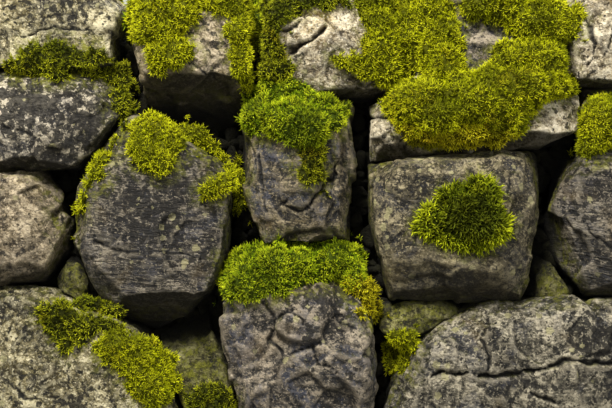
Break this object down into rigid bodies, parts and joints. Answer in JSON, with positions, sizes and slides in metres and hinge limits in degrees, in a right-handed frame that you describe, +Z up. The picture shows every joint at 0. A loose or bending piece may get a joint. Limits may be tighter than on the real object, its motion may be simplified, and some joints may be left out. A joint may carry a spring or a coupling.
{
  "type": "dry stone wall",
  "caption": "Free-standing double-faced dry stone wall of rough boulders with hearting, through stones at the ends and a cope across the top.",
  "frame": {"origin": "centre of the wall's length and thickness, on the ground", "axes": "+X along the wall, -Y out of the front face, +Z up"},
  "size_m": [2.092, 0.7532, 1.0947],
  "materials": {
    "beige_stone": "rough weathered stone",
    "dark_stone": "rough weathered stone",
    "blue_stone": "rough weathered stone",
    "grey_stone": "rough weathered stone",
    "pale_stone": "rough weathered stone",
    "mossy_stone": "rough weathered stone",
    "core_stone": "rough weathered stone",
    "moss": "damp moss, tufted"
  },
  "bodies": {
    "root": {"left_end_footing": "grey_stone", "left_end_middle": "dark_stone", "left_end_upper": "blue_stone", "right_end_footing": "dark_stone", "right_end_middle": "grey_stone", "right_end_upper": "grey_stone", "footing_left": "beige_stone", "footing_wedge": "mossy_stone", "footing_middle": "dark_stone", "footing_right": "dark_stone", "cobble": "beige_stone", "round_boulder": "blue_stone", "upright_stone": "blue_stone", "square_boulder": "dark_stone", "side_boulder": "blue_stone", "corner_pin": "mossy_stone", "bed_pin": "mossy_stone", "gap_pin": "mossy_stone", "upper_boulder": "grey_stone", "long_slab": "pale_stone", "sloping_stone": "mossy_stone", "cope_left_end": "grey_stone", "cope_flat": "beige_stone", "cope_wedge": "pale_stone", "cope_hollow": "pale_stone", "cope_mound": "grey_stone", "cope_rugged": "pale_stone", "cope_right_end": "dark_stone", "back_footings": "dark_stone", "back_middle_course": "grey_stone", "back_upper_course": "grey_stone", "back_pins": "mossy_stone", "hearting_lower": "core_stone", "hearting_middle": "core_stone", "hearting_upper": "core_stone", "face_moss": "moss", "cope_moss": "moss", "back_moss": "moss"}
  },
  "joints": []
}
